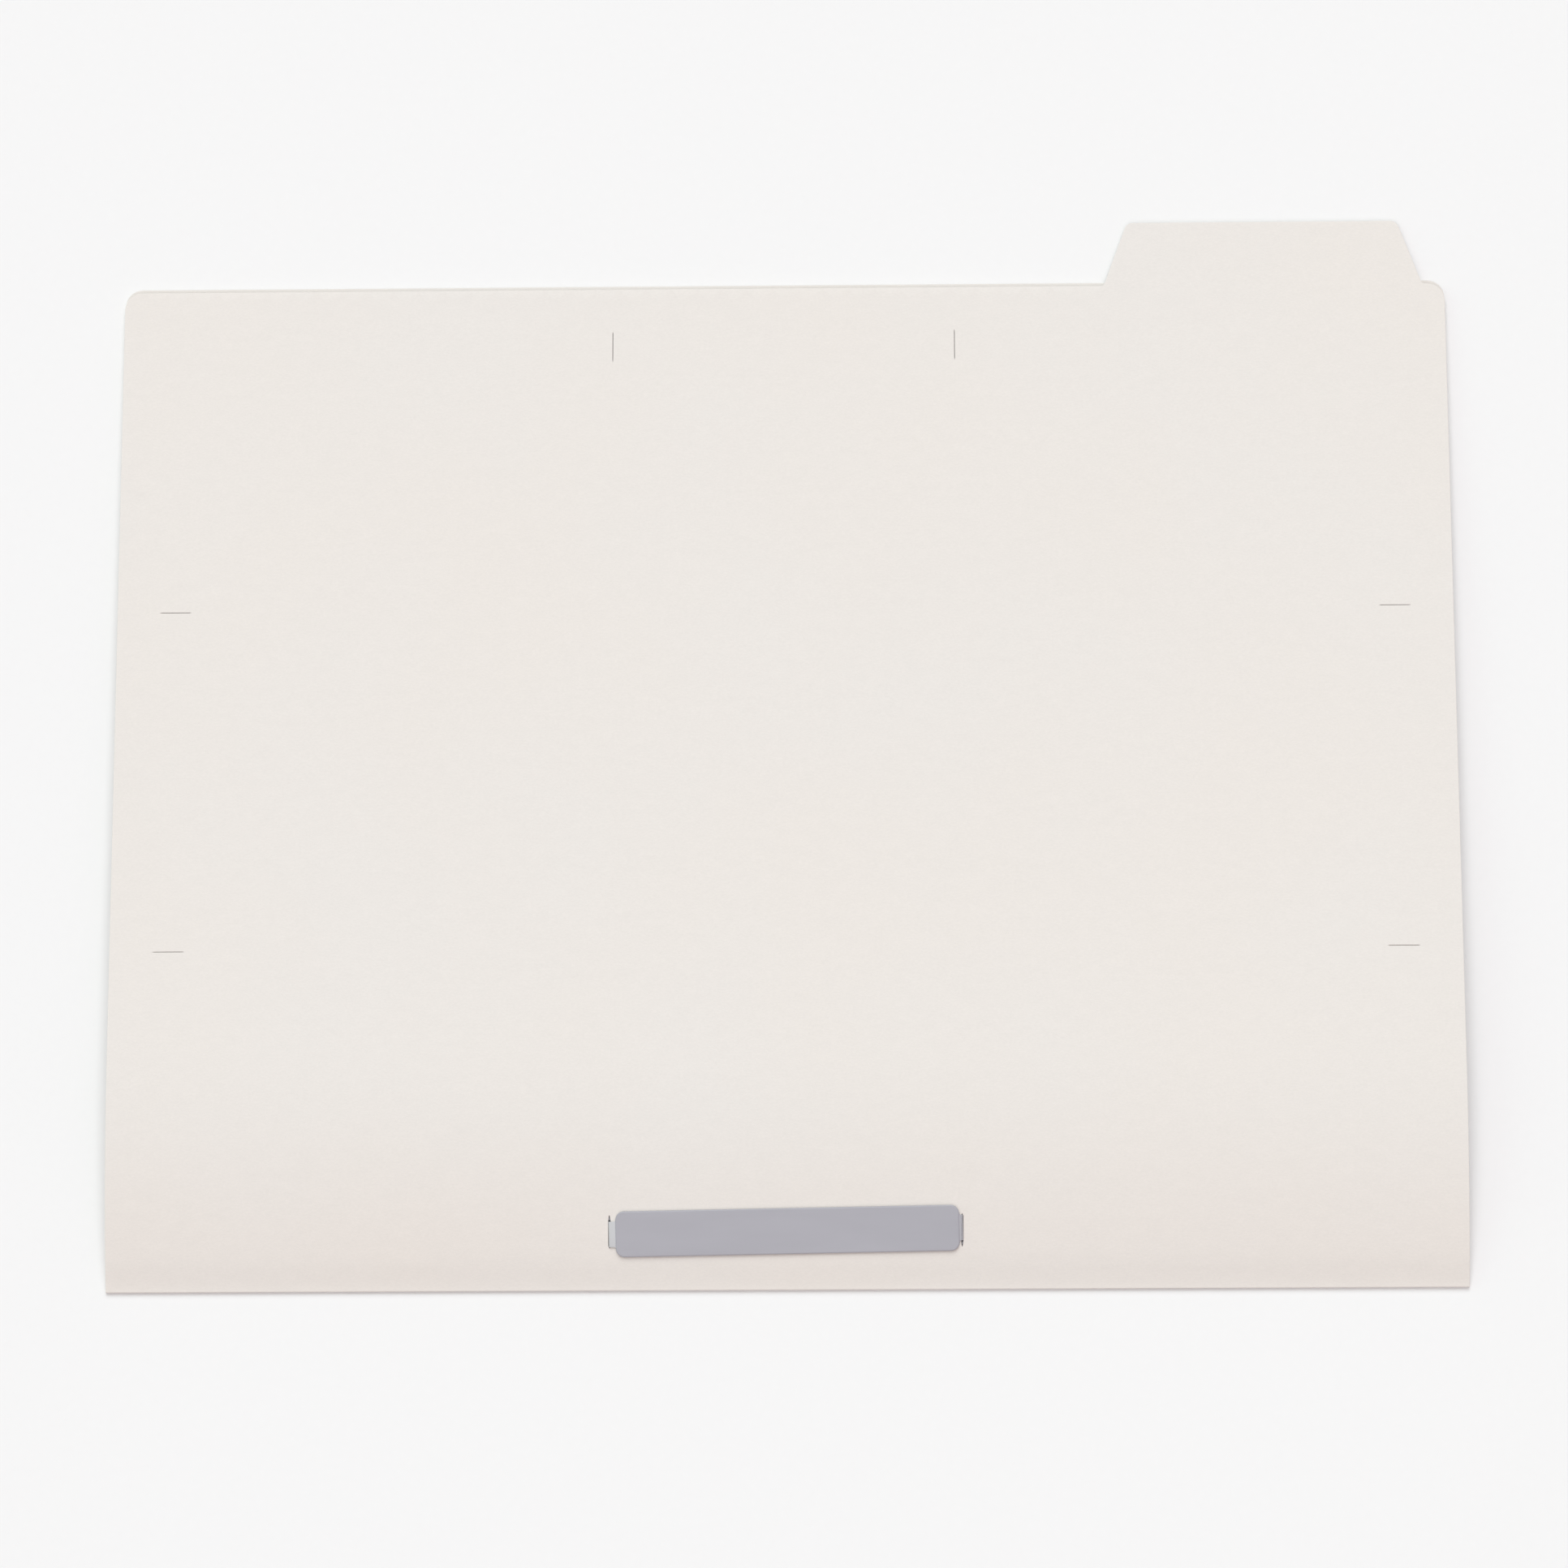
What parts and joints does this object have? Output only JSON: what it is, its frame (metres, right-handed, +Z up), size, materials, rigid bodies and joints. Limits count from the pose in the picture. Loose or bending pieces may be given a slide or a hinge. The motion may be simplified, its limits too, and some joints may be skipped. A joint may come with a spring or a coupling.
{
  "type": "tabbed file folder with prong fastener",
  "caption": "Flat card folder, folded along one edge, with an index tab and a grey plastic prong fastener held in slits beside the fold.",
  "frame": {"origin": "on the table under the middle of the closed folder's overall width and depth, tab included", "axes": "+X along the fold, towards the side with the tab; +Y from the fold to the tab; +Z up, out of the back panel"},
  "size_m": [0.3096, 0.2504, 0.007],
  "materials": {
    "card": "matte, uncoated, warm off-white",
    "grey_plastic": "satin bluish grey"
  },
  "bodies": {
    "front": {"front_panel": "card", "fold_crease": "card"},
    "spine": {"spine_strip": "card", "fastener_base": "grey_plastic"},
    "back": {"back_panel": "card"},
    "left_prong": {"prong_left": "grey_plastic"},
    "right_prong": {"prong_right": "grey_plastic"},
    "bar": {"retainer_bar": "grey_plastic"},
    "left_keeper": {"keeper_left": "grey_plastic"},
    "right_keeper": {"keeper_right": "grey_plastic"}
  },
  "joints": [
    {"name": "folder_fold", "type": "hinge", "parent": "front", "child": "spine", "pos_m": [0, -0.1245, 0.0007], "axis": [1, 0, 0], "range_deg": [0, 160]},
    {"name": "panel_flex", "type": "hinge", "parent": "spine", "child": "back", "pos_m": [0, -0.1044, 0.00508], "axis": [1, 0, 0], "range_deg": [0, 22]},
    {"name": "left_prong_bend", "type": "hinge", "parent": "spine", "child": "left_prong", "pos_m": [-0.04, -0.11246, 0.00242], "axis": [-0.0152, 0.9843, 0.176], "range_deg": [0, 90]},
    {"name": "right_prong_bend", "type": "hinge", "parent": "spine", "child": "right_prong", "pos_m": [0.04, -0.11126, 0.00264], "axis": [0.0152, -0.9843, -0.176], "range_deg": [0, 90]},
    {"name": "bar_lift", "type": "slide", "parent": "spine", "child": "bar", "axis": [0, 0.176, -0.9844], "range_m": [0, 0.005]},
    {"name": "left_keeper_slide", "type": "slide", "parent": "bar", "child": "left_keeper", "axis": [-0.9999, -0.0149, -0.0027], "range_m": [0, 0.022]},
    {"name": "right_keeper_slide", "type": "slide", "parent": "bar", "child": "right_keeper", "axis": [0.9999, 0.0149, 0.0027], "range_m": [0, 0.022]}
  ],
  "couplings": [
    {"joint": "panel_flex", "follows": "folder_fold", "ratio": 0.1375},
    {"joint": "left_prong_bend", "follows": "folder_fold", "ratio": 0.5625},
    {"joint": "right_prong_bend", "follows": "folder_fold", "ratio": 0.5625},
    {"joint": "bar_lift", "follows": "folder_fold", "m_per_rad": 0.0017905}
  ]
}
